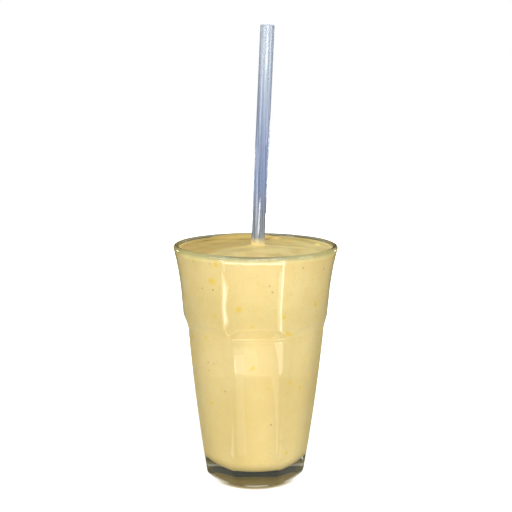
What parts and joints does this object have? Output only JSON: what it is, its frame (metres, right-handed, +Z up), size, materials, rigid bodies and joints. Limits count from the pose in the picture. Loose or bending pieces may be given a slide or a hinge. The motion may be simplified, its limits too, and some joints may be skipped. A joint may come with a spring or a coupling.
{
  "type": "mango smoothie in a glass",
  "caption": "Thick mango smoothie filling a tall pressed tumbler with flat sides and a flared lip, with a clear straight drinking straw standing in it.",
  "frame": {"origin": "centre of the foot, on the table", "axes": "+Z up along the glass; one flat side of the glass faces -Y; the straw leans towards +X"},
  "size_m": [0.0968, 0.0968, 0.2645],
  "materials": {
    "glass": "clear polished pressed glass with a faint grey-green tint where it is thick",
    "smoothie": "opaque smooth fruit puree, wet and glossy on top",
    "straw": "thin clear plastic with a faint blue tint"
  },
  "bodies": {
    "root": {"glass": "glass", "smoothie": "smoothie", "straw": "straw"}
  },
  "joints": []
}
